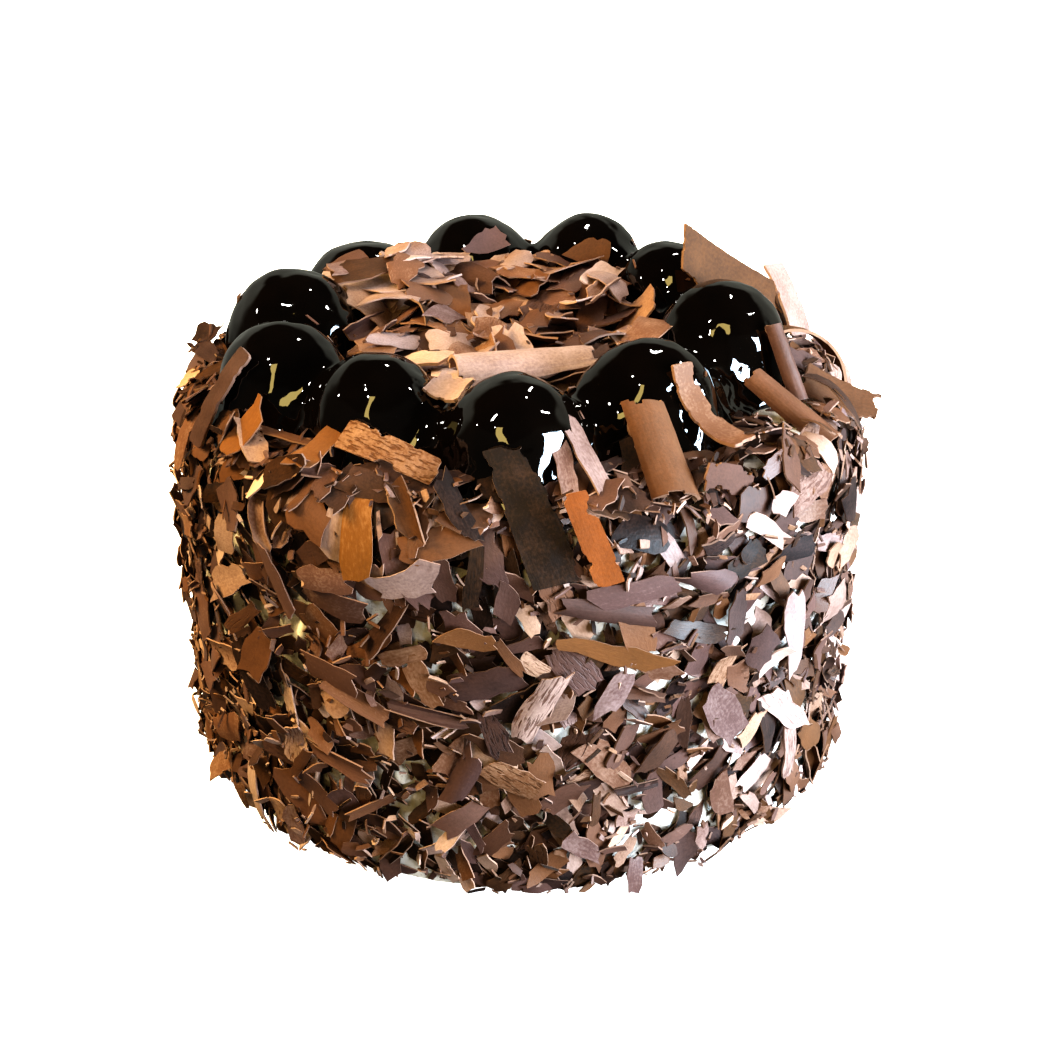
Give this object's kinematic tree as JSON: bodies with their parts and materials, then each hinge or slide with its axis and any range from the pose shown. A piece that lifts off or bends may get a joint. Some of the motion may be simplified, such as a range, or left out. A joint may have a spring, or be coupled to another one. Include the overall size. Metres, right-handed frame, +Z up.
{
  "type": "profiterole cake",
  "caption": "Tall round cream cake coated in chocolate flakes, topped with a ring of profiteroles in glossy dark glaze round a heap of flakes, with large curled shavings at the rim.",
  "frame": {"origin": "centre of the flat base, on the surface that the cake stands on", "axes": "+Z up, -Y towards the viewer of the picture, +X to the viewer's right"},
  "size_m": [0.2094, 0.2052, 0.1529],
  "materials": {
    "flake_coat": "matt chocolate flakes over white cream",
    "heap_flakes": "matt chocolate flakes in a loose heap",
    "poured_glaze": "mirror-glossy dark chocolate glaze",
    "glazed_bun": "choux bun under glossy dark chocolate glaze",
    "shaving_chocolate": "satin chocolate shaving with fine drag lines"
  },
  "bodies": {
    "root": {"cake_body": "flake_coat", "flake_heap": "heap_flakes", "glaze": "poured_glaze", "profiterole_01": "glazed_bun", "profiterole_02": "glazed_bun", "profiterole_03": "glazed_bun", "profiterole_04": "glazed_bun", "profiterole_05": "glazed_bun", "profiterole_06": "glazed_bun", "profiterole_07": "glazed_bun", "profiterole_08": "glazed_bun", "profiterole_09": "glazed_bun", "profiterole_10": "glazed_bun", "shaving_bark": "shaving_chocolate", "shaving_dark": "shaving_chocolate", "shaving_orange": "shaving_chocolate", "shaving_brown": "shaving_chocolate", "shaving_folded": "shaving_chocolate", "shaving_quill": "shaving_chocolate", "shaving_spike": "shaving_chocolate", "shaving_stick": "shaving_chocolate", "shaving_plate": "shaving_chocolate", "shaving_ribbon": "shaving_chocolate", "shaving_sail": "shaving_chocolate", "shaving_upright": "shaving_chocolate", "shaving_leaf": "shaving_chocolate", "shaving_blade": "shaving_chocolate", "shaving_shard": "shaving_chocolate", "shaving_strip": "shaving_chocolate", "shaving_curl": "shaving_chocolate", "shaving_cup": "shaving_chocolate", "shaving_chip": "shaving_chocolate"}
  },
  "joints": []
}
